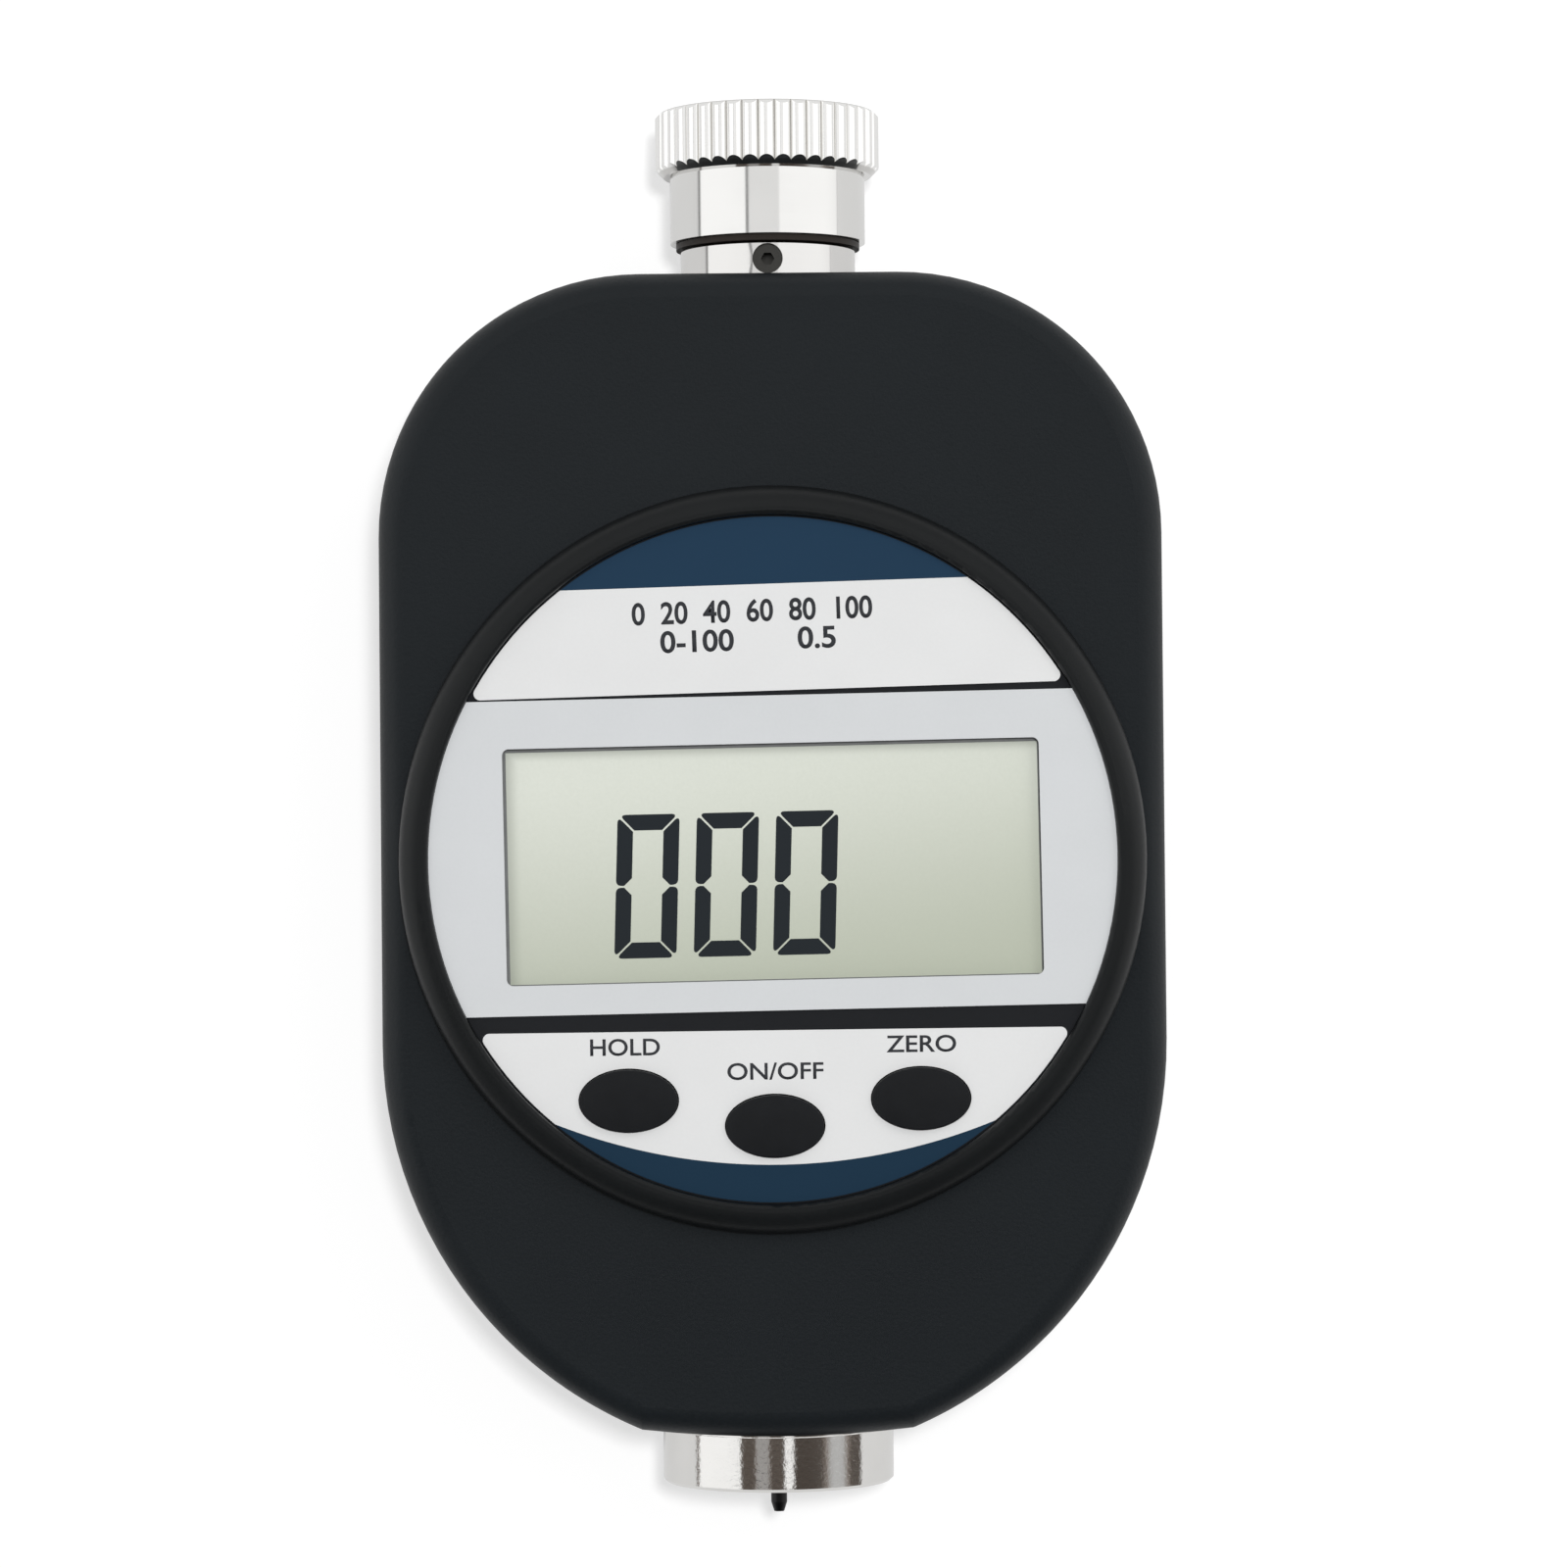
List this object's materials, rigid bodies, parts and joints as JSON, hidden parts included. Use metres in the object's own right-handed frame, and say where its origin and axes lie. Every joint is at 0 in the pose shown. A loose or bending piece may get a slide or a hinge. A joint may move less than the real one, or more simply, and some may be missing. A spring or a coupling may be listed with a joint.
{
  "type": "durometer",
  "caption": "Hand-held digital durometer: black rounded case with a round ringed face, display and oval keys, a bright presser foot with a sprung indenter, and a fluted screw cap on a neck.",
  "frame": {"origin": "on the flat back, under the centre of the round face", "axes": "+Y along the measuring axis from the foot to the knob, +Z out of the face, +X to the right of the face"},
  "size_m": [0.0602, 0.1096, 0.0241],
  "materials": {
    "case_black": "fine moulded grain, satin",
    "cover_black": "fine moulded grain",
    "ring_black": "smooth satin",
    "plate_dark": "smooth",
    "panel_grey": "smooth satin sheet",
    "label_blue": "printed film",
    "label_white": "printed film",
    "display_glass": "grey-green reflective display",
    "zebra_rubber": "silicone",
    "board_green": "solder mask",
    "chip_black": "moulded",
    "screw_steel": "plated",
    "key_rubber": "smooth silicone",
    "dome_steel": "bright",
    "strip_gold": "gilt tracks",
    "carrier_aluminium": "machined",
    "spindle_steel": "ground",
    "indenter_steel": "hardened, dark",
    "spring_steel": "drawn wire",
    "adjuster_brass": "turned",
    "bush_bronze": "sintered",
    "bright_chrome": "polished plating",
    "grub_black": "black oxide",
    "washer_dark": "moulded",
    "cell_steel": "bright can",
    "contact_brass": "spring strip",
    "seal_rubber": "moulded"
  },
  "bodies": {
    "housing": {"case": "case_black", "back_cover": "cover_black", "cover_screws": "screw_steel", "dial_ring": "ring_black", "dial_plate": "plate_dark", "display_panel": "panel_grey", "upper_label": "label_blue", "lower_label": "label_white", "lcd_panel": "display_glass", "zebra_strips": "zebra_rubber", "circuit_board": "board_green", "controller_chip": "chip_black", "board_screws": "screw_steel", "key_domes": "dome_steel", "sensor_plate": "board_green", "guide_rod": "spindle_steel", "main_spring": "spring_steel", "spring_adjuster": "adjuster_brass", "upper_bush": "bush_bronze", "lower_bush": "bush_bronze", "presser_foot": "bright_chrome", "neck": "bright_chrome", "neck_set_screw": "grub_black", "battery_cell": "cell_steel", "battery_contact": "contact_brass"},
    "plunger": {"spindle": "spindle_steel", "indenter": "indenter_steel", "stop_collar": "spindle_steel", "scale_carrier": "carrier_aluminium", "scale_strip": "strip_gold"},
    "hold_button": {"hold_key": "key_rubber"},
    "power_button": {"power_key": "key_rubber"},
    "zero_button": {"zero_key": "key_rubber"},
    "washer": {"knob_washer": "washer_dark"},
    "screw_cap": {"knob": "bright_chrome"},
    "battery_door": {"battery_cap": "cover_black", "battery_seal": "seal_rubber"}
  },
  "joints": [
    {"name": "indenter_slide", "type": "slide", "parent": "housing", "child": "plunger", "axis": [0, 1, 0], "range_m": [0, 0.0025], "stiffness_N_per_m": 3000, "springref_m": -0.00018, "deforming": ["main_spring"]},
    {"name": "hold_press", "type": "slide", "parent": "housing", "child": "hold_button", "axis": [0, 0, -1], "range_m": [0, 0.0005], "stiffness_N_per_m": 2500, "springref_m": -0.0002},
    {"name": "power_press", "type": "slide", "parent": "housing", "child": "power_button", "axis": [0, 0, -1], "range_m": [0, 0.0005], "stiffness_N_per_m": 2500, "springref_m": -0.0002},
    {"name": "zero_press", "type": "slide", "parent": "housing", "child": "zero_button", "axis": [0, 0, -1], "range_m": [0, 0.0005], "stiffness_N_per_m": 2500, "springref_m": -0.0002},
    {"name": "knob_rise", "type": "slide", "parent": "housing", "child": "washer", "axis": [0, 1, 0], "range_m": [0, 0.004]},
    {"name": "knob_turn", "type": "hinge", "parent": "washer", "child": "screw_cap", "pos_m": [0, 0.0482, 0.0105], "axis": [0, 1, 0], "range_deg": [0, 1440]},
    {"name": "battery_cap_turn", "type": "hinge", "parent": "housing", "child": "battery_door", "pos_m": [0.0145, 0, 0], "axis": [0, 0, -1], "range_deg": [0, 60]}
  ],
  "couplings": [
    {"joint": "knob_turn", "follows": "knob_rise", "rad_per_m": 6283.2}
  ]
}
